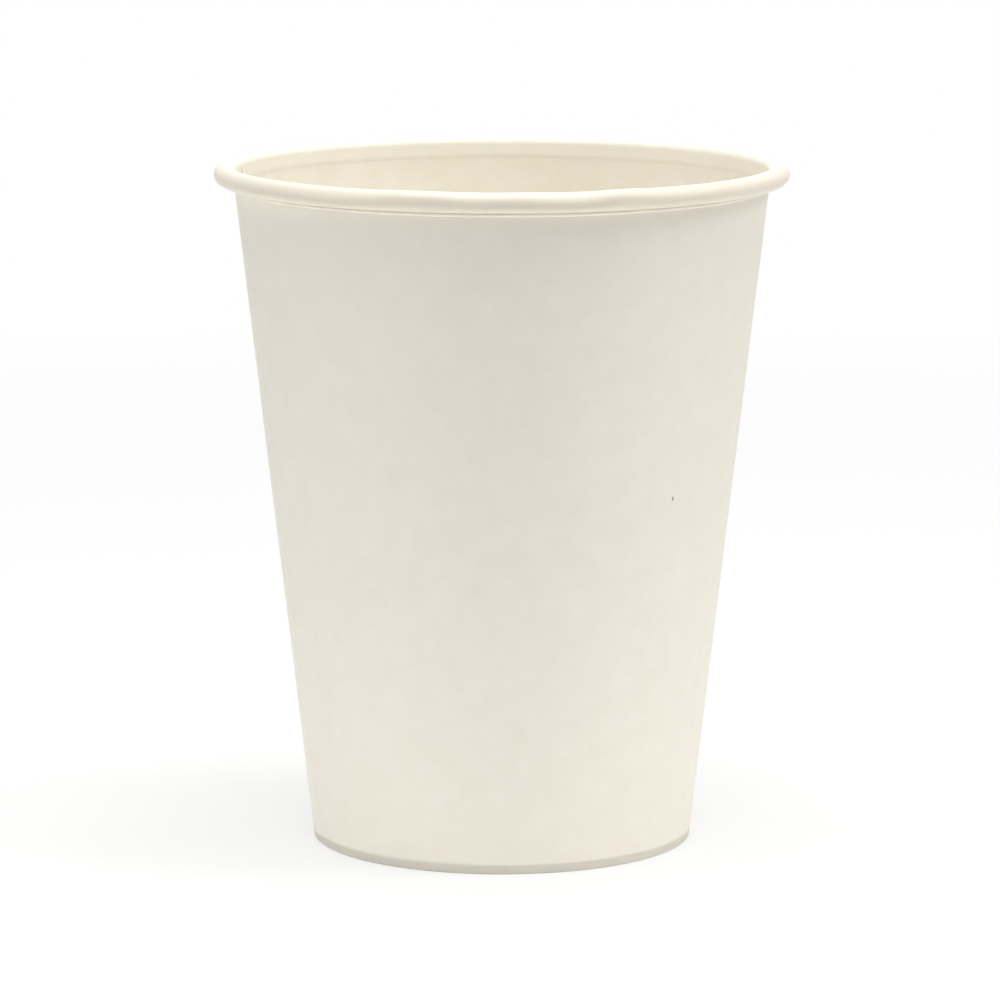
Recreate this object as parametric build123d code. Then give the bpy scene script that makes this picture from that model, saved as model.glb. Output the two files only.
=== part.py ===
from build123d import *
import os
from math import asin, atan2, cos, degrees, hypot, sin, sqrt, tan

# A single-wall paper cup for hot drinks: a conical sidewall, wrapped from one blank and sealed
# along a lap, with a rolled rim, and a drawn bottom whose skirt is gripped in the sidewall's hem.
# Millimetres.  The cup stands on z = 0, with its axis on +Z.

# Overall sizes
cup_height = 107.2
rim_diameter = 90.0
base_diameter = 59.7

# Paperboard
wall_board = 0.35
bottom_board = 0.30
seal_gap = 0.02            # between the bottom's skirt and the board on each side of it

# Rolled rim: the board curls outwards and down, and its edge ends inside the roll
roll_radius = 1.65
roll_gap = 0.08            # between the tucked layer and the layer over it
roll_tuck = 70.0           # degrees that the edge runs on past one full turn

# Pressed bead just below the roll
bead_height = 0.6
bead_proud = 0.25
bead_hollow = 0.05         # how far the board's inner side follows it out
bead_drop = 0.45           # from the roll's underside down to the middle of the bead

# Hem: the wall's lower edge, folded in and up round the skirt of the bottom
hem_height = 6.0
fold_radius = 0.3

# Bottom: a disc with a skirt turned down
hem_headroom = 1.0         # from the top of the hem up to the underside of the disc
bottom_bend = 0.7          # outer radius of the bend between disc and skirt
skirt_gap = 0.1            # from the skirt's cut edge down to the fold

# Lap seam, on the wall from the fold up to the roll
seam_lap = 7.0             # width of the overlap
seam_ramp = 2.5            # width over which the outer board comes back down to the wall
seam_direction = 160.0     # where the outer board's cut edge lies, in degrees round +Z from +X
seam_swell = 0.15          # how far the doubled board pushes the roll outwards

# Worked out from the sizes above.  A point of the upright section is Vector(radius, height).
roll_centre = Vector(rim_diameter / 2 - roll_radius, cup_height - roll_radius)
tucked_radius = roll_radius - wall_board - roll_gap
closing_radius = (roll_radius + tucked_radius) / 2

# The wall's outer face leaves the base circle and is tangent to the concave side of the roll.
wall_run = roll_centre.X - base_diameter / 2
wall_rise = roll_centre.Y
wall_tilt = atan2(wall_run, wall_rise) - asin((roll_radius - wall_board) / hypot(wall_run, wall_rise))
inward_angle = 180 - degrees(wall_tilt)
inward = Vector(-cos(wall_tilt), sin(wall_tilt))
closing_centre = roll_centre - inward * (roll_radius - closing_radius)
roll_underside = closing_centre.Y - closing_radius

# Depths of the layers of the hem, square to the wall and measured in from its outer face
skirt_depth = wall_board + seal_gap
hem_depth = skirt_depth + bottom_board + seal_gap
foot_depth = hem_depth + wall_board

disc_top = hem_height + hem_headroom + bottom_board


def wall_point(depth, height):
    """Point of the section at a depth inside the wall's outer face."""
    return Vector(base_diameter / 2 + height * tan(wall_tilt) - depth / cos(wall_tilt), height)


def turned(outline):
    """Solid turned round the cup's axis from a closed outline of the section."""
    return revolve(Plane.XZ * make_face(outline), Axis.Z, 360)


def roll_line(depth):
    """Spiral of the rolled rim, at a depth inside its convex side."""
    return [
        CenterArc(roll_centre, roll_radius - depth, inward_angle, -180),
        CenterArc(closing_centre, closing_radius - depth, inward_angle - 180, -180),
        CenterArc(roll_centre, tucked_radius - depth, inward_angle, -roll_tuck),
    ]


def bead_line(depth, proud):
    """Arc of the pressed bead, on the face at a depth inside the wall's outer face."""
    middle = roll_underside - bead_drop
    return ThreePointArc(
        wall_point(depth, middle - bead_height / 2),
        wall_point(depth - proud, middle),
        wall_point(depth, middle + bead_height / 2),
    )


def fold_line():
    """Underside of the hem: two rounded corners and the narrow flat ring that the cup stands on."""
    inner_end = wall_point(foot_depth, fold_radius)
    outer_end = wall_point(0, fold_radius)
    flat_start = inner_end + Vector(fold_radius, -fold_radius)
    flat_end = outer_end - Vector(fold_radius, fold_radius)
    bulge = fold_radius / sqrt(2)
    return [
        ThreePointArc(inner_end, flat_start + Vector(-bulge, fold_radius - bulge), flat_start),
        Line(flat_start, flat_end),
        ThreePointArc(flat_end, flat_end + Vector(bulge, fold_radius - bulge), outer_end),
    ]


def wall_board_section():
    """Closed outline of the sidewall's board, from its rolled edge to its hem edge."""
    concave_side = roll_line(wall_board)
    convex_side = roll_line(0)
    outer_bead = bead_line(0, bead_proud)
    inner_bead = bead_line(wall_board, bead_hollow)
    fold = fold_line()
    channel = [
        wall_point(wall_board, wall_board),
        wall_point(hem_depth, wall_board),
        wall_point(hem_depth, hem_height),
    ]
    hem_edge = wall_point(foot_depth, hem_height)
    return [
        Line(fold[-1] @ 1, outer_bead @ 0),
        outer_bead,
        Line(outer_bead @ 1, concave_side[0] @ 0),
        *concave_side,
        Line(concave_side[-1] @ 1, convex_side[-1] @ 1),
        *convex_side,
        Line(convex_side[0] @ 0, inner_bead @ 1),
        inner_bead,
        Line(inner_bead @ 0, channel[0]),
        Line(channel[0], channel[1]),
        Line(channel[1], channel[2]),
        Line(channel[2], hem_edge),
        Line(hem_edge, fold[0] @ 0),
        *fold,
    ]


def seam_point(depth, around, height):
    """Point at a depth inside the wall's outer face, a distance round from the seam's cut edge."""
    turn = seam_direction + degrees(around / wall_point(0, height).X)
    return Vector(wall_point(depth, height).X, 0, height).rotate(Axis.Z, turn)


def seam_arc(depth, start, end, height):
    """Level arc that keeps one depth between two distances round from the seam's cut edge."""
    return ThreePointArc(
        seam_point(depth, start, height),
        seam_point(depth, (start + end) / 2, height),
        seam_point(depth, end, height),
    )


def lap_section(height):
    """Level outline of the outer board: its cut edge, the overlap, and the ramp down to the wall."""
    rooted = wall_board / 2
    far_end = seam_lap + seam_ramp
    return make_face([
        Line(seam_point(rooted, 0, height), seam_point(-wall_board, 0, height)),
        seam_arc(-wall_board, 0, seam_lap, height),
        Line(seam_point(-wall_board, seam_lap, height), seam_point(0, far_end, height)),
        Line(seam_point(0, far_end, height), seam_point(rooted, far_end, height)),
        seam_arc(rooted, far_end, 0, height),
    ])


def groove_section(height):
    """Level outline of the wedge left inside, where the outer board steps over the inner cut edge."""
    far_end = seam_lap + seam_ramp
    clear = wall_board + seam_ramp
    return make_face([
        Line(seam_point(clear, seam_lap, height), seam_point(0, seam_lap, height)),
        Line(seam_point(0, seam_lap, height), seam_point(wall_board, far_end, height)),
        Line(seam_point(wall_board, far_end, height), seam_point(clear, far_end, height)),
        seam_arc(clear, far_end, seam_lap, height),
    ])


def roll_swell():
    """Crescent that thickens the roll's outer side where the doubled board runs through it."""
    opening_turn, closing_turn, _ = roll_line(0)
    inner_opening, inner_closing, _ = roll_line(wall_board / 2)
    top, low = opening_turn @ 0.6, closing_turn @ 0.5
    inner_top, inner_low = inner_opening @ 0.6, inner_closing @ 0.5
    rim = Vector(rim_diameter / 2, roll_centre.Y)
    crescent = make_face([
        ThreePointArc(top, rim + Vector(seam_swell, 0), low),
        Line(low, inner_low),
        ThreePointArc(inner_low, rim - Vector(wall_board / 2, 0), inner_top),
        Line(inner_top, top),
    ])
    sector = degrees(seam_lap / wall_point(0, roll_underside).X)
    return Rot(Z=seam_direction) * revolve(Plane.XZ * crescent, Axis.Z, sector)


def make_sidewall():
    """Wrapped sidewall with its hem, lap seam, bead and rolled rim."""
    lap = loft([lap_section(fold_radius), lap_section(roll_underside)], ruled=True)
    groove = loft([groove_section(disc_top), groove_section(roll_underside)], ruled=True)
    return turned(wall_board_section()) + lap + roll_swell() - groove


def make_bottom():
    """Drawn bottom: a flat disc, a bend, and a skirt that lies along the wall inside the hem."""
    bend_centre = wall_point(skirt_depth + bottom_bend, disc_top - bottom_bend)
    bend_start, bend_sweep = -degrees(wall_tilt), 90 + degrees(wall_tilt)
    outer_bend = CenterArc(bend_centre, bottom_bend, bend_start, bend_sweep)
    inner_bend = CenterArc(bend_centre, bottom_bend - bottom_board, bend_start, bend_sweep)
    cut_height = wall_board + skirt_gap
    cut_edge = Line(
        wall_point(skirt_depth, cut_height), wall_point(skirt_depth + bottom_board, cut_height)
    )
    axis_top, axis_low = Vector(0, disc_top), Vector(0, disc_top - bottom_board)
    return turned([
        Line(axis_top, outer_bend @ 1),
        outer_bend,
        Line(outer_bend @ 0, cut_edge @ 0),
        cut_edge,
        Line(cut_edge @ 1, inner_bend @ 0),
        inner_bend,
        Line(inner_bend @ 1, axis_low),
        Line(axis_low, axis_top),
    ])


os.makedirs("parts", exist_ok=True)
for name, solid in {"sidewall": make_sidewall(), "bottom": make_bottom()}.items():
    export_step(solid, f"parts/{name}.step")
    print(name, round(solid.volume, 1), "mm3", solid.bounding_box())
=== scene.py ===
from math import asin, atan2, cos, hypot, pi, radians, sin, tan

import bpy
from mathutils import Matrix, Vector


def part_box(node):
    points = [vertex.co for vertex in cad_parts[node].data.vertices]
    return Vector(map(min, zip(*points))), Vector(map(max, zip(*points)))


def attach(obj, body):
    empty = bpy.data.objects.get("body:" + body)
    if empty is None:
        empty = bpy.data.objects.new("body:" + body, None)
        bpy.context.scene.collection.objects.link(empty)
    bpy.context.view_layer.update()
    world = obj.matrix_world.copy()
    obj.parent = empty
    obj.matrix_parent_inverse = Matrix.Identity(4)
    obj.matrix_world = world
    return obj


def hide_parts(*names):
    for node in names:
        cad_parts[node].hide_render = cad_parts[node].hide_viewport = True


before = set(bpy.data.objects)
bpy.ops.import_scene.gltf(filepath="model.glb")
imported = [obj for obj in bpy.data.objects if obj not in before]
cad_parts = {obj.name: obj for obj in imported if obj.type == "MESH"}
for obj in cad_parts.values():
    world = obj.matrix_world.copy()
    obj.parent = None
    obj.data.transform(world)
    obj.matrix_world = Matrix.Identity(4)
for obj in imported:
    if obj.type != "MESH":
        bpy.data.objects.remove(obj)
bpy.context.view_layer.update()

# ---------------------------------------------------------------------------------------------
# Camera.  In front of the cup, a hand's breadth above the rim and tipped down, on a long lens.
# ---------------------------------------------------------------------------------------------
camera_distance = 0.8565
camera_height = 0.1973
camera_tip = radians(9.524)
camera_side_step = -0.00028
focal_length = 197.85             # in millimetres

lens = bpy.data.cameras.new("long_lens")
lens.lens = focal_length
lens.clip_end = 20
camera = bpy.data.objects.new("camera", lens)
camera.location = (camera_side_step, -camera_distance, camera_height)
camera.rotation_euler = (pi / 2 - camera_tip, 0, 0)
bpy.context.scene.collection.objects.link(camera)
bpy.context.scene.camera = camera
bpy.context.scene.view_settings.view_transform = "Standard"

# ---------------------------------------------------------------------------------------------
# Sidewall.  One fan-shaped blank of cup board, wrapped to a cone and heat-sealed along a lap.
# Its top edge is curled out and down into the rim, with a bead pressed under it, and its bottom
# edge is folded in and up as the hem.  The outside is bare board and the inside has a film.
# ---------------------------------------------------------------------------------------------
mm = 0.001
board = 0.35 * mm
bottom_board = 0.30 * mm
seal_gap = 0.02 * mm
base_radius = 59.7 / 2 * mm
roll_radius = 1.65 * mm
roll_gap = 0.08 * mm
roll_tuck = radians(70)
bead_height = 0.6 * mm
bead_proud = 0.25 * mm
bead_hollow = 0.01 * mm            # shallower than on the CAD solid
bead_drop = 0.45 * mm
hem_height = 6.0 * mm
fold_radius = 0.3 * mm
lap_width = 7.0 * mm
lap_ramp = 2.5 * mm
lap_direction = radians(160)
roll_swell = 0.15 * mm
seam_spacing = 0.25 * mm           # between the mesh columns at the seam
seam_margin = 4.5 * seam_spacing   # puts each cut edge midway between two columns
seam_columns = 48
rest_columns = 300                 # over the rest of the turn
closing_reach = 0.002 * mm         # joins the first column of the mesh to the last
crisp_angle = radians(40)          # edges bent further than this are shown sharp

_, wall_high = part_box("sidewall")
bottom_low, bottom_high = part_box("bottom")
cup_height = wall_high.z
rim_radius = wall_high.x
disc_top = bottom_high.z

BARE, FILM, CUT = 0, 1, 2

roll_centre = Vector((rim_radius - roll_radius, 0, cup_height - roll_radius))
tucked_radius = roll_radius - board - roll_gap
closing_radius = (roll_radius + tucked_radius) / 2
wall_run, wall_rise = roll_centre.x - base_radius, roll_centre.z
wall_tilt = atan2(wall_run, wall_rise) - asin((roll_radius - board) / hypot(wall_run, wall_rise))
wall_out = Vector((cos(wall_tilt), 0, -sin(wall_tilt)))
inward_angle = pi - wall_tilt
closing_centre = roll_centre + wall_out * (roll_radius - closing_radius)
roll_underside = closing_centre.z - closing_radius
hem_depth = board + bottom_board + 2 * seal_gap
foot_depth = hem_depth + board


def wall_point(depth, height):
    """Point of the upright section at a depth inside the wall's outer face."""
    return Vector((base_radius + height * tan(wall_tilt) - depth / cos(wall_tilt), 0, height))


def arc(centre, radius, start, sweep, steps):
    """Points of an arc in the upright section."""
    turns = [start + sweep * i / steps for i in range(steps + 1)]
    return [centre + Vector((cos(a), 0, sin(a))) * radius for a in turns]


def line(start, end, steps=1):
    """Points of a straight stretch in the upright section."""
    return [start.lerp(end, i / steps) for i in range(steps + 1)]


def chord_arc(start, middle, end, steps):
    """Points of an arc by its ends and its middle, which has to lie squarely over the chord."""
    half, rise = (end - start).length / 2, (middle - (start + end) / 2).length
    radius = (half * half + rise * rise) / (2 * rise)
    centre = middle + ((start + end) / 2 - middle).normalized() * radius
    first = atan2((start - centre).z, (start - centre).x)
    last = atan2((end - centre).z, (end - centre).x)
    return arc(centre, radius, first, last - first, steps)


def spiral(depth, steps):
    """The rolled rim at a depth inside its convex side, from the wall to the tucked edge."""
    opening, closing, tuck = steps
    return (
        arc(roll_centre, roll_radius - depth, inward_angle, -pi, opening)[:-1]
        + arc(closing_centre, closing_radius - depth, inward_angle - pi, -pi, closing)[:-1]
        + arc(roll_centre, tucked_radius - depth, inward_angle, -roll_tuck, tuck)
    )


def bead(depth, proud, steps):
    """The pressed bead on the face that lies at a depth.

    Its middle is moved out level and not squarely to the wall, so the arc misses its two ends, by
    up to 0.04 mm on the inner face.
    """
    middle = roll_underside - bead_drop
    return chord_arc(
        wall_point(depth, middle - bead_height / 2),
        wall_point(depth - proud, middle),
        wall_point(depth, middle + bead_height / 2),
        steps,
    )


def ramp(value, low, high):
    """0 up to low, 1 from high on, and straight in between."""
    return min(1, max(0, (value - low) / (high - low)))


class Section:
    """Outline of a board, with what each of its points does at the seam and in a wave or a dent."""

    def __init__(self):
        self.rows = []

    def run(self, points, side, push=lambda point: {}):
        """Adds a stretch up to, but without, its last point, where the next stretch starts."""
        for point in points[:-1]:
            self.rows.append({"point": point, "side": side, **push(point)})

    def mesh(self, name):
        """The outline as a mesh of points that carry what each of them does."""
        made = bpy.data.meshes.new(name)
        made.from_pydata([row["point"] for row in self.rows], [], [])
        side = made.attributes.new("side", "INT", "POINT")
        side.data.foreach_set("value", [row["side"] for row in self.rows])
        for push in ("lap_push", "step_push", "swell_push", "wave_push", "dent_push"):
            values = [x for row in self.rows for x in row.get(push, (0, 0, 0))]
            made.attributes.new(push, "FLOAT_VECTOR", "POINT").data.foreach_set("vector", values)
        return made


wave_start, wave_full = 9 * mm, 25 * mm    # the hem holds the wall round below the first height
under_roll = 0.8 * mm                      # height in which the outer lap ends behind the roll
step_start = 0.3 * mm                      # height in which the inner step begins, at the disc
swell_aim = radians(-20)                   # where on the roll's outer side it swells most
dent_aim = radians(40)                     # where on the roll a dent is deepest
roll_wave_start, roll_wave_full = -0.8, 0.2


def outer_wall(point):
    """The outer lap lies a board's thickness out, up to where the roll covers it."""
    low = ramp(point.z, 0, fold_radius)
    high = 1 - ramp(point.z, roll_underside, roll_underside + under_roll)
    wave = wall_out * ramp(point.z, wave_start, wave_full) * high
    return {"lap_push": wall_out * board * low * high, "wave_push": wave}


def inner_wall(point):
    """Past the inner cut edge the outer lap comes back down, which leaves a step inside."""
    low = ramp(point.z, disc_top - step_start, disc_top)
    high = 1 - ramp(point.z, roll_underside, roll_centre.z)
    wave = wall_out * ramp(point.z, wave_start, wave_full) * high
    return {"step_push": wall_out * board * low * high, "wave_push": wave}


def hem_face(point):
    """The folded-in lap lies a board's thickness further in."""
    return {"lap_push": -wall_out * board * ramp(point.z, 0, fold_radius)}


def roll_face(point):
    """The roll swells outwards at the seam, waves along its length, and can be dented."""
    out = (point - roll_centre).normalized()
    side = max(0, out.x * cos(swell_aim) + out.z * sin(swell_aim))
    top = max(0, out.x * cos(dent_aim) + out.z * sin(dent_aim))
    return {
        "swell_push": out * roll_swell * side * side,
        "wave_push": out * ramp(out.x, roll_wave_start, roll_wave_full),
        "dent_push": -out * top * top,
    }


# Steps along each stretch of the outline
wall_steps = 30
bead_steps = 8
short_steps = 4
skirt_steps = 3
fold_steps = 5
flat_steps = 2
concave_steps = (14, 12, 4)        # opening turn, closing turn and tucked edge
convex_steps = (36, 24, 6)

sidewall_section = Section()
outer_foot = wall_point(0, fold_radius)
inner_foot = wall_point(foot_depth, fold_radius)
flat_start = inner_foot + Vector((fold_radius, 0, 0))
flat_end = outer_foot - Vector((fold_radius, 0, 0))
standing = Vector((0, 0, -fold_radius))
outer_bead = bead(0, bead_proud, bead_steps)
inner_bead = bead(board, bead_hollow, bead_steps // 2)
concave = spiral(board, concave_steps)
convex = spiral(0, convex_steps)
tuck_start = len(convex) - convex_steps[-1] - 1
channel = [
    wall_point(board, board), wall_point(hem_depth, board), wall_point(hem_depth, hem_height),
]
hem_edge = wall_point(foot_depth, hem_height)
beside_disc = wall_point(board, disc_top)

sidewall_section.run(line(outer_foot, outer_bead[0], wall_steps), BARE, outer_wall)
sidewall_section.run(outer_bead, BARE, outer_wall)
sidewall_section.run(line(outer_bead[-1], concave[0], short_steps), BARE, outer_wall)
sidewall_section.run(concave, BARE)
sidewall_section.run([concave[-1], convex[-1]], CUT)
sidewall_section.run(convex[:tuck_start - 1:-1], FILM)
sidewall_section.run(convex[tuck_start::-1], FILM, roll_face)
sidewall_section.run(line(convex[0], inner_bead[-1], short_steps), FILM, inner_wall)
sidewall_section.run(inner_bead[::-1], FILM, inner_wall)
sidewall_section.run(line(inner_bead[0], beside_disc, wall_steps), FILM, inner_wall)
sidewall_section.run(line(beside_disc, channel[0], short_steps), FILM)
sidewall_section.run(line(channel[0], channel[1]), FILM)
sidewall_section.run(line(channel[1], channel[2], skirt_steps), FILM)
sidewall_section.run(line(channel[2], hem_edge), CUT, hem_face)
sidewall_section.run(line(hem_edge, inner_foot, short_steps), BARE, hem_face)
sidewall_section.run(arc(flat_start, fold_radius, pi, pi / 2, fold_steps), BARE, hem_face)
sidewall_section.run(line(flat_start + standing, flat_end + standing, flat_steps), BARE)
sidewall_section.run(arc(flat_end, fold_radius, -pi / 2, pi / 2, fold_steps), BARE, outer_wall)


def node(tree, kind, inputs=None, **settings):
    """Adds a node with its settings, and sets or links its inputs by name or number.

    A node that is given as an input is linked by its first output.
    """
    made = tree.nodes.new(kind)
    for name, value in settings.items():
        setattr(made, name, value)
    for key, value in (inputs or {}).items():
        if isinstance(value, bpy.types.Node):
            value = value.outputs[0]
        if isinstance(value, bpy.types.NodeSocket):
            tree.links.new(value, made.inputs[key])
        else:
            made.inputs[key].default_value = value
    return made


MATH = "ShaderNodeMath"

# Where the roll was pressed in or out in handling: the share of a turn from -X, going by the front,
# and how far in, from -1 to 1.  It is undented at -X.
rim_dents = [
    (0.07, 0.0), (0.12, 0.1), (0.158, 0.75), (0.185, 0.0), (0.20, -0.35), (0.225, 0.0),
    (0.235, 0.3), (0.26, 0.05), (0.285, 0.55), (0.305, 0.1), (0.318, -0.7), (0.335, 0.0),
    (0.40, 0.2), (0.48, 0.0), (0.60, 0.3), (0.68, -0.2), (0.75, 0.1), (0.88, 0.25),
]


def board_tree():
    """Geometry nodes that turn a board's section round the cup's axis and lay its lap seam."""
    tree = bpy.data.node_groups.new("board_turned_round_axis", "GeometryNodeTree")
    tree.is_modifier = True
    face = tree.interface
    face.new_socket("Section", in_out="INPUT", socket_type="NodeSocketGeometry")
    for name, kind in (
        ("Rows", "Int"), ("Columns", "Int"), ("Seam columns", "Int"), ("Column spacing", "Float"),
        ("Seam margin", "Float"), ("Lap width", "Float"), ("Lap ramp", "Float"),
        ("Lap direction", "Float"), ("Base radius", "Float"), ("Wall slope", "Float"),
        ("Rim radius", "Float"), ("Wave height", "Float"), ("Wave length", "Float"),
        ("Dent depth", "Float"), ("Seed", "Float"),
        ("Bare", "Material"), ("Film", "Material"), ("Cut edge", "Material"),
    ):
        face.new_socket(name, in_out="INPUT", socket_type="NodeSocket" + kind)
    face.new_socket("Board", in_out="OUTPUT", socket_type="NodeSocketGeometry")
    given = node(tree, "NodeGroupInput").outputs
    section = given["Section"]
    rows = given["Rows"]
    spacing = given["Column spacing"]
    margin = given["Seam margin"]
    width = given["Lap width"]

    # A grid with one column of points for each copy of the section, closed on itself later
    down = node(tree, MATH, {0: rows, 1: 1.0}, operation="ADD")
    across = node(tree, MATH, {0: given["Columns"], 1: 1.0}, operation="ADD")
    grid = node(tree, "GeometryNodeMeshGrid", {"Vertices X": across, "Vertices Y": down})
    index = node(tree, "GeometryNodeInputIndex")
    index_middle = node(tree, MATH, {0: index, 1: 0.5}, operation="ADD")
    columns_passed = node(tree, MATH, {0: index_middle, 1: down}, operation="DIVIDE")
    column = node(tree, MATH, {0: columns_passed}, operation="FLOOR")
    column_start = node(tree, MATH, {0: column, 1: down}, operation="MULTIPLY")
    in_column = node(tree, MATH, {0: index, 1: column_start}, operation="SUBTRACT")
    row = node(tree, MATH, {0: in_column, 1: rows}, operation="MODULO")
    position = node(tree, "GeometryNodeInputPosition")
    point = node(
        tree, "GeometryNodeSampleIndex", {0: section, 1: position, 2: row}, data_type="FLOAT_VECTOR"
    )
    height = node(tree, "ShaderNodeSeparateXYZ", {0: point}).outputs["Z"]

    # Distance round from the outer cut edge.  The columns beside a cut edge are drawn up to it.
    at_seam = node(tree, MATH, {0: column, 1: given["Seam columns"]}, operation="MINIMUM")
    along = node(tree, MATH, {0: at_seam, 1: spacing}, operation="MULTIPLY")
    zone = node(tree, MATH, {0: along, 1: margin}, operation="SUBTRACT")
    half_width = node(tree, MATH, {0: width, 1: 0.5}, operation="MULTIPLY")
    inner_half = node(tree, MATH, {0: zone, 1: half_width}, operation="GREATER_THAN")
    nearest_edge = node(tree, MATH, {0: inner_half, 1: width}, operation="MULTIPLY")
    from_edge = node(tree, MATH, {0: zone, 1: nearest_edge}, operation="SUBTRACT")
    edge_distance = node(tree, MATH, {0: from_edge}, operation="ABSOLUTE")
    edge_side = node(tree, MATH, {0: from_edge}, operation="SIGN")
    first_column = node(tree, MATH, {0: spacing, 1: 0.5}, operation="MULTIPLY")
    fourth_column = node(tree, MATH, {0: spacing, 1: 4.0}, operation="MULTIPLY")
    near = node(tree, "ShaderNodeMapRange", {
        "Value": edge_distance, "From Min": first_column, "From Max": fourth_column,
        "To Min": 0.46, "To Max": 0.0,
    })
    signed_near = node(tree, MATH, {0: near, 1: edge_side}, operation="MULTIPLY")
    drawn = node(tree, MATH, {0: signed_near, 1: spacing}, operation="MULTIPLY")
    around = node(tree, MATH, {0: zone, 1: drawn}, operation="SUBTRACT")

    # The rest of the columns share out the rest of the turn
    wall_radius = node(
        tree, MATH, {0: height, 1: given["Wall slope"], 2: given["Base radius"]},
        operation="MULTIPLY_ADD",
    )
    seam_length = node(tree, MATH, {0: given["Seam columns"], 1: spacing}, operation="MULTIPLY")
    seam_turn = node(tree, MATH, {0: seam_length, 1: wall_radius}, operation="DIVIDE")
    past_seam = node(tree, MATH, {0: column, 1: at_seam}, operation="SUBTRACT")
    rest_count = node(
        tree, MATH, {0: given["Columns"], 1: given["Seam columns"]}, operation="SUBTRACT"
    )
    rest = node(tree, MATH, {0: past_seam, 1: rest_count}, operation="DIVIDE")
    turn_left = node(tree, MATH, {0: 2 * pi, 1: seam_turn}, operation="SUBTRACT")
    rest_turn = node(tree, MATH, {0: rest, 1: turn_left}, operation="MULTIPLY")
    around_turn = node(tree, MATH, {0: around, 1: wall_radius}, operation="DIVIDE")
    turn_from_edge = node(tree, MATH, {0: around_turn, 1: rest_turn}, operation="ADD")
    turn = node(tree, MATH, {0: turn_from_edge, 1: given["Lap direction"]}, operation="ADD")

    # How much of the outer lap, of the step past the inner cut edge and of the swell there is here
    fall_end = node(tree, MATH, {0: width, 1: given["Lap ramp"]}, operation="ADD")
    fall = node(tree, "ShaderNodeMapRange", {
        "Value": around, "From Min": width, "From Max": fall_end, "To Min": 1.0, "To Max": 0.0,
    })
    past_outer_edge = node(tree, MATH, {0: around, 1: 0.0}, operation="GREATER_THAN")
    past_inner_edge = node(tree, MATH, {0: around, 1: width}, operation="GREATER_THAN")
    lap = node(tree, MATH, {0: fall, 1: past_outer_edge}, operation="MULTIPLY")
    step = node(tree, MATH, {0: fall, 1: past_inner_edge}, operation="MULTIPLY")
    before_edge = node(tree, MATH, {0: margin, 1: -1.0}, operation="MULTIPLY")
    rise = node(tree, "ShaderNodeMapRange", {
        "Value": around, "From Min": before_edge, "From Max": margin, "To Min": 0.0, "To Max": 1.0,
    }, interpolation_type="SMOOTHSTEP")
    swell = node(tree, MATH, {0: fall, 1: rise}, operation="MULTIPLY")

    # Slow waves, and dents in the roll
    ring = node(tree, "ShaderNodeCombineXYZ", {"X": given["Rim radius"], "Z": height})
    place = node(
        tree, "ShaderNodeVectorRotate", {"Vector": ring, "Angle": turn}, rotation_type="Z_AXIS"
    )
    wave_scale = node(tree, MATH, {0: 1.0, 1: given["Wave length"]}, operation="DIVIDE")
    noise = node(tree, "ShaderNodeTexNoise", {
        "Vector": place, "W": given["Seed"], "Scale": wave_scale, "Detail": 1.0,
    }, noise_dimensions="4D")
    signed_noise = node(tree, MATH, {0: noise, 1: 0.5}, operation="SUBTRACT")
    wave = node(tree, MATH, {0: signed_noise, 1: given["Wave height"]}, operation="MULTIPLY")
    turn_from_left = node(tree, MATH, {0: turn, 1: pi}, operation="SUBTRACT")
    turns_passed = node(tree, MATH, {0: turn_from_left, 1: 2 * pi}, operation="DIVIDE")
    turn_share = node(tree, MATH, {0: turns_passed}, operation="FRACT")
    dent_curve = node(tree, "ShaderNodeFloatCurve", {"Value": turn_share})
    curve = dent_curve.mapping.curves[0]
    for share, depth in rim_dents:
        curve.points.new(share, (depth + 1) / 2)
    curve.points[0].location = (0, 0.5)
    curve.points[-1].location = (1, 0.5)
    dent_curve.mapping.update()
    signed_dent = node(tree, MATH, {0: dent_curve, 1: 2.0, 2: -1.0}, operation="MULTIPLY_ADD")
    dent = node(tree, MATH, {0: signed_dent, 1: given["Dent depth"]}, operation="MULTIPLY")

    placed = point
    for name, amount in (
        ("lap_push", lap), ("step_push", step), ("swell_push", swell), ("wave_push", wave),
        ("dent_push", dent),
    ):
        carried = node(tree, "GeometryNodeInputNamedAttribute", {0: name}, data_type="FLOAT_VECTOR")
        push = node(
            tree, "GeometryNodeSampleIndex", {0: section, 1: carried, 2: row},
            data_type="FLOAT_VECTOR",
        )
        placed = node(
            tree, "ShaderNodeVectorMath", {0: push, 1: amount, 2: placed}, operation="MULTIPLY_ADD"
        )
    turned = node(
        tree, "ShaderNodeVectorRotate", {"Vector": placed, "Angle": turn}, rotation_type="Z_AXIS"
    )
    shaped = node(tree, "GeometryNodeSetPosition", {"Geometry": grid, "Position": turned})

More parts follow.
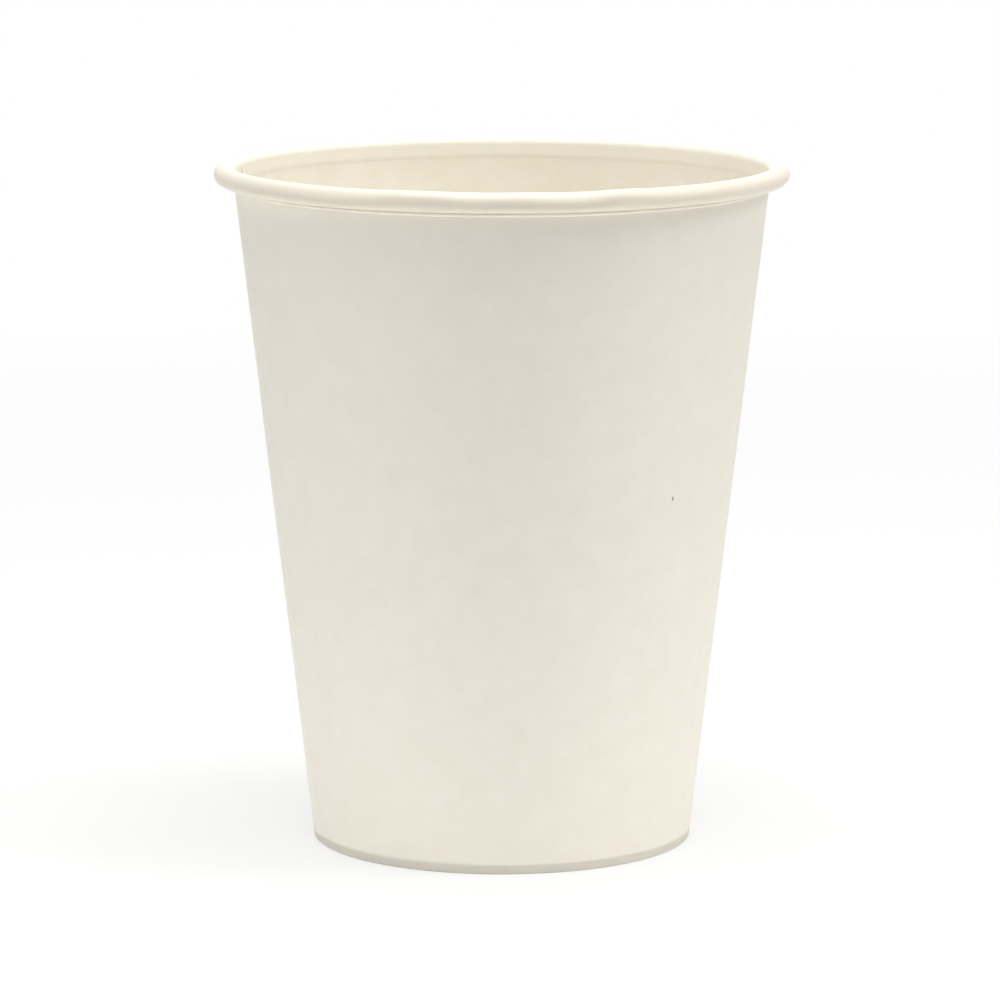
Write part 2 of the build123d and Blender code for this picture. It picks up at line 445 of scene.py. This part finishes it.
    # Which side of the board each face shows, then the grid's edges joined up
    face_row = node(tree, MATH, {0: index, 1: rows}, operation="MODULO")
    carried_side = node(tree, "GeometryNodeInputNamedAttribute", {0: "side"}, data_type="INT")
    face_side = node(
        tree, "GeometryNodeSampleIndex", {0: section, 1: carried_side, 2: face_row}, data_type="INT"
    )
    sided = node(tree, "GeometryNodeStoreNamedAttribute", {
        "Geometry": shaped, "Name": "board_side", "Value": face_side,
    }, data_type="INT", domain="FACE")
    closed = node(
        tree, "GeometryNodeMergeByDistance", {"Geometry": sided, "Distance": closing_reach}
    )
    smooth = node(tree, "GeometryNodeSetShadeSmooth", {"Geometry": closed, "Shade Smooth": True})
    bent = node(tree, "GeometryNodeInputMeshEdgeAngle")
    sharp = node(tree, MATH, {0: bent, 1: crisp_angle}, operation="GREATER_THAN")
    crisp = node(tree, "GeometryNodeSetShadeSmooth", {
        "Geometry": smooth, "Selection": sharp, "Shade Smooth": False,
    }, domain="EDGE")
    finish = node(tree, "GeometryNodeRealizeInstances", {0: crisp})
    shown = node(tree, "GeometryNodeInputNamedAttribute", {0: "board_side"}, data_type="INT")
    for side, name in ((BARE, "Bare"), (FILM, "Film"), (CUT, "Cut edge")):
        on_side = node(tree, MATH, {0: shown, 1: float(side), 2: 0.5}, operation="COMPARE")
        finish = node(tree, "GeometryNodeSetMaterial", {
            "Geometry": finish, "Selection": on_side, "Material": given[name],
        })
    node(tree, "NodeGroupOutput", {0: finish})
    return tree


def linear(colour):
    """Linear RGBA from an sRGB hex value."""
    parts = [int(colour[i:i + 2], 16) / 255 for i in (1, 3, 5)]
    return (*(c / 12.92 if c <= 0.04045 else ((c + 0.055) / 1.055) ** 2.4 for c in parts), 1)


def new_material(name):
    """A material with its Principled shader and its output."""
    made = bpy.data.materials.new(name)
    made.use_nodes = True
    made.node_tree.nodes.clear()
    shader = node(made.node_tree, "ShaderNodeBsdfPrincipled")
    node(made.node_tree, "ShaderNodeOutputMaterial", {"Surface": shader.outputs[0]})
    return made, made.node_tree, shader


cloud_size = 4.0 * mm         # the slow cloudiness that pulp dries to
fibre_size = 0.35 * mm        # bundles of fibres; single fibres would be too fine to show
fleck_centre = Vector((0.02621, -0.02549, 0.0581))
fleck_reach = 0.22 * mm
fleck_upright = 0.45          # below 1, this draws the fleck out in height
painted_shade_blend = 0.5 * mm         # each side of the roll's centre line, between the film's own colour and the painted shade on the roll's outer half
matt_spread = 0.05            # how far the roughness varies each way


def paperboard(name, light, dark, fibre_height, roughness, fleck=False, painted_roll_shade=None):
    """Board of bleached pulp: clouded in colour, and uneven by the height of its fibres."""
    made, tree, shader = new_material(name)
    place = node(tree, "ShaderNodeTexCoord").outputs["Object"]
    cloud = node(tree, "ShaderNodeTexNoise", {
        "Vector": place, "Scale": 1 / cloud_size, "Detail": 3.0, "Roughness": 0.6,
    })
    fibre = node(tree, "ShaderNodeTexNoise", {
        "Vector": place, "Scale": 1 / fibre_size, "Detail": 2.0, "Roughness": 0.7,
        "Distortion": 0.6,
    })
    both = node(tree, MATH, {0: fibre, 1: 0.35, 2: cloud}, operation="MULTIPLY_ADD")
    share = node(tree, "ShaderNodeMapRange", {"Value": both, "From Min": 0.45, "From Max": 0.9})
    colour = node(
        tree, "ShaderNodeMix", {0: share, 6: linear(dark), 7: linear(light)}, data_type="RGBA"
    ).outputs[2]
    # Painted shade: past the roll's centre line, the outer half and underside of the rolled rim are
    # darkened to the given colour
    if painted_roll_shade:
        level = node(
            tree, "ShaderNodeVectorMath", {0: place, 1: (1.0, 1.0, 0.0)}, operation="MULTIPLY"
        )
        from_axis = node(tree, "ShaderNodeVectorMath", {0: level}, operation="LENGTH")
        painted_shade_share = node(tree, "ShaderNodeMapRange", {
            "Value": from_axis.outputs["Value"],
            "From Min": roll_centre.x - painted_shade_blend, "From Max": roll_centre.x + painted_shade_blend,
        })
        colour = node(
            tree, "ShaderNodeMix", {0: painted_shade_share, 6: colour, 7: linear(painted_roll_shade)}, data_type="RGBA"
        ).outputs[2]
    if fleck:
        away = node(
            tree, "ShaderNodeVectorMath", {0: place, 1: fleck_centre}, operation="SUBTRACT"
        )
        tall = node(
            tree, "ShaderNodeVectorMath", {0: away, 1: (1.0, 1.0, fleck_upright)},
            operation="MULTIPLY",
        )
        far = node(tree, "ShaderNodeVectorMath", {0: tall}, operation="LENGTH")
        spot = node(tree, "ShaderNodeMapRange", {
            "Value": far.outputs["Value"], "From Min": 0.4 * fleck_reach, "From Max": fleck_reach,
            "To Min": 0.9, "To Max": 0.0,
        })
        colour = node(
            tree, "ShaderNodeMix", {0: spot, 6: colour, 7: linear("#5A5348")}, data_type="RGBA"
        ).outputs[2]
    tree.links.new(colour, shader.inputs["Base Color"])
    matt = node(tree, "ShaderNodeMapRange", {
        "Value": fibre, "To Min": roughness - matt_spread, "To Max": roughness + matt_spread,
    })
    tree.links.new(matt.outputs[0], shader.inputs["Roughness"])
    bump = node(
        tree, "ShaderNodeBump", {"Height": fibre, "Strength": 0.6, "Distance": fibre_height}
    )
    tree.links.new(bump.outputs[0], shader.inputs["Normal"])
    return made, shader


# Calendered bleached board: matt, a little uneven, warm white
bare_board, bare_shader = paperboard(
    "calendered_cup_board", "#F0EBDF", "#EDE7DB", 0.010 * mm, 0.66, fleck=True
)
bare_shader.inputs["Specular IOR Level"].default_value = 0.35
# The same board under polyethylene film: smoother, with a soft sheen, and creamier; the outer half
# of its rolled rim gets a painted shade
film_board, film_shader = paperboard(
    "film_coated_cup_board", "#FBF7EB", "#F8F2E3", 0.004 * mm, 0.46, painted_roll_shade="#E8E1D1"
)
film_shader.inputs["IOR"].default_value = 1.51
film_shader.inputs["Specular IOR Level"].default_value = 0.3
# Torn and cut fibres with no film or calendered skin: rough and paler
cut_board, _ = paperboard("cut_board_edge", "#F7F2E8", "#E4DCCB", 0.03 * mm, 0.9)

tree = board_tree()
sizes = {
    "Columns": rest_columns + seam_columns, "Seam columns": seam_columns,
    "Column spacing": seam_spacing,
    "Seam margin": seam_margin, "Lap width": lap_width, "Lap ramp": lap_ramp,
    "Lap direction": lap_direction, "Base radius": base_radius, "Wall slope": tan(wall_tilt),
    "Rim radius": rim_radius, "Wave height": 0.12 * mm, "Wave length": 22 * mm,
    "Dent depth": 0.42 * mm, "Seed": 3.0,
    "Bare": bare_board, "Film": film_board, "Cut edge": cut_board,
}


def turned_piece(name, section, **changed):
    """A finished piece: its section turned by the tree, as a plain mesh with no modifier."""
    draft = bpy.data.objects.new(name + "_section", section.mesh(name + "_section"))
    bpy.context.scene.collection.objects.link(draft)
    modifier = draft.modifiers.new("turned", "NODES")
    modifier.node_group = tree
    values = {**sizes, "Rows": len(section.rows), **changed}
    for item in tree.interface.items_tree:
        if item.in_out == "INPUT" and item.name in values:
            modifier[item.identifier] = values[item.name]
    evaluated = draft.evaluated_get(bpy.context.evaluated_depsgraph_get())
    mesh = bpy.data.meshes.new_from_object(evaluated)
    bpy.data.objects.remove(draft)
    mesh.name = name
    piece = bpy.data.objects.new(name, mesh)
    bpy.context.scene.collection.objects.link(piece)
    return piece


sidewall = turned_piece("sidewall_board", sidewall_section)
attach(sidewall, "root")
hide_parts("sidewall")

# ---------------------------------------------------------------------------------------------
# Bottom.  A round blank of thinner board, drawn to a disc with a skirt turned down, film side up.
# The skirt is sealed between the wall and the folded-in hem.
# ---------------------------------------------------------------------------------------------
bottom_bend = 0.7 * mm
outer_bend_steps = 10
inner_bend_steps = 6
skirt_depth = board + seal_gap
skirt_cut = bottom_low.z
bend_centre = wall_point(skirt_depth + bottom_bend, disc_top - bottom_bend)
outer_bend = arc(bend_centre, bottom_bend, -wall_tilt, pi / 2 + wall_tilt, outer_bend_steps)
inner_bend = arc(
    bend_centre, bottom_bend - bottom_board, -wall_tilt, pi / 2 + wall_tilt, inner_bend_steps
)
skirt_outside = wall_point(skirt_depth, skirt_cut)
skirt_inside = wall_point(skirt_depth + bottom_board, skirt_cut)
disc_rings = 14
disc_columns = 180                 # over the turn, beside those at the seam

disc_middle = Vector((0, 0, disc_top))
underside_middle = Vector((0, 0, disc_top - bottom_board))

bottom_section = Section()
bottom_section.run(line(skirt_outside, outer_bend[0], skirt_steps), FILM)
bottom_section.run(outer_bend, FILM)
bottom_section.run(line(outer_bend[-1], disc_middle, disc_rings), FILM)
bottom_section.run([disc_middle, underside_middle], BARE)
bottom_section.run(line(underside_middle, inner_bend[-1], disc_rings), BARE)
bottom_section.run(inner_bend[::-1], BARE)
bottom_section.run(line(inner_bend[0], skirt_inside, skirt_steps), BARE)
bottom_section.run([skirt_inside, skirt_outside], CUT)

bottom = turned_piece("bottom_board", bottom_section, Columns=disc_columns + seam_columns)
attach(bottom, "root")
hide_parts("bottom")

# ---------------------------------------------------------------------------------------------
# Floor and light.  A white table that glows a little round the cup's foot, a large softbox
# overhead, smaller ones in front and at both sides, and a dim surround.
# ---------------------------------------------------------------------------------------------
floor_reach = 6.0
shadow_reach = 0.15        # the cup's shadow shows up to here
white_reach = 0.60         # and from here on all is white

floor_mesh = bpy.data.meshes.new("table_top")
floor_mesh.from_pydata(
    [(x * floor_reach, y * floor_reach, 0) for x, y in ((-1, -1), (1, -1), (1, 1), (-1, 1))],
    [], [(0, 1, 2, 3)],
)
floor = bpy.data.objects.new("table_top", floor_mesh)
bpy.context.scene.collection.objects.link(floor)

# Matt white table; whatever looks straight at it sees it whitened, and its shadow faintly
floor_material, floor_tree, floor_shader = new_material("white_table")
floor_shader.inputs["Base Color"].default_value = linear("#F4F4F3")
floor_shader.inputs["Roughness"].default_value = 0.9
floor_shader.inputs["Specular IOR Level"].default_value = 0.1


def seen_directly(tree):
    """1 for rays that show a surface itself, and 0 for those that only gather its light."""
    rays = node(tree, "ShaderNodeLightPath").outputs
    camera_or_glossy = node(
        tree, MATH, {0: rays["Is Camera Ray"], 1: rays["Is Glossy Ray"]}, operation="MAXIMUM"
    )
    return node(
        tree, MATH, {0: camera_or_glossy, 1: rays["Is Transmission Ray"]}, operation="MAXIMUM"
    )


floor_place = node(floor_tree, "ShaderNodeTexCoord").outputs["Object"]
from_cup = node(floor_tree, "ShaderNodeVectorMath", {0: floor_place}, operation="LENGTH")
whitened = node(floor_tree, "ShaderNodeMapRange", {
    "Value": from_cup.outputs["Value"], "From Min": shadow_reach, "From Max": white_reach,
    "To Min": 0.6, "To Max": 1.0,
})
share = node(floor_tree, MATH, {0: whitened, 1: seen_directly(floor_tree)}, operation="MULTIPLY")
white = node(floor_tree, "ShaderNodeEmission", {"Strength": 1.0})
shown = node(floor_tree, "ShaderNodeMixShader", {0: share, 1: floor_shader, 2: white})
floor_tree.links.new(shown.outputs[0], floor_tree.nodes["Material Output"].inputs["Surface"])
floor_mesh.materials.append(floor_material)

light_aim = Vector((0, 0, 0.07))
for name, shape, place, size, power in (
    ("overhead_softbox", "SQUARE", (0, 0, 1.0), 0.8, 9.4),
    ("front_softbox", "SQUARE", (0, -0.6, 0.9), 0.5, 1.8),
    ("right_softbox", "SQUARE", (0.6, -0.1, 0.6), 0.3, 2.0),
    ("left_softbox", "SQUARE", (-0.7, -0.15, 0.3), 0.4, 0.95),
    ("glow_of_table", "DISK", (0, 0, 0.0015), 0.2, 0.034),
):
    lamp = bpy.data.lights.new(name, "AREA")
    lamp.shape, lamp.size, lamp.energy = shape, size, power
    box = bpy.data.objects.new(name, lamp)
    box.location = place
    box.rotation_euler = (Vector(place) - light_aim).to_track_quat("Z", "Y").to_euler()
    box.visible_camera = False
    bpy.context.scene.collection.objects.link(box)

world = bpy.data.worlds.new("dim_surround")
world.use_nodes = True
surround = world.node_tree.nodes["Background"]
surround.inputs["Color"].default_value = (1, 1, 1, 1)
brightness = node(world.node_tree, "ShaderNodeMapRange", {
    "Value": seen_directly(world.node_tree), "To Min": 0.12, "To Max": 1.0,
})
world.node_tree.links.new(brightness.outputs[0], surround.inputs["Strength"])
bpy.context.scene.world = world
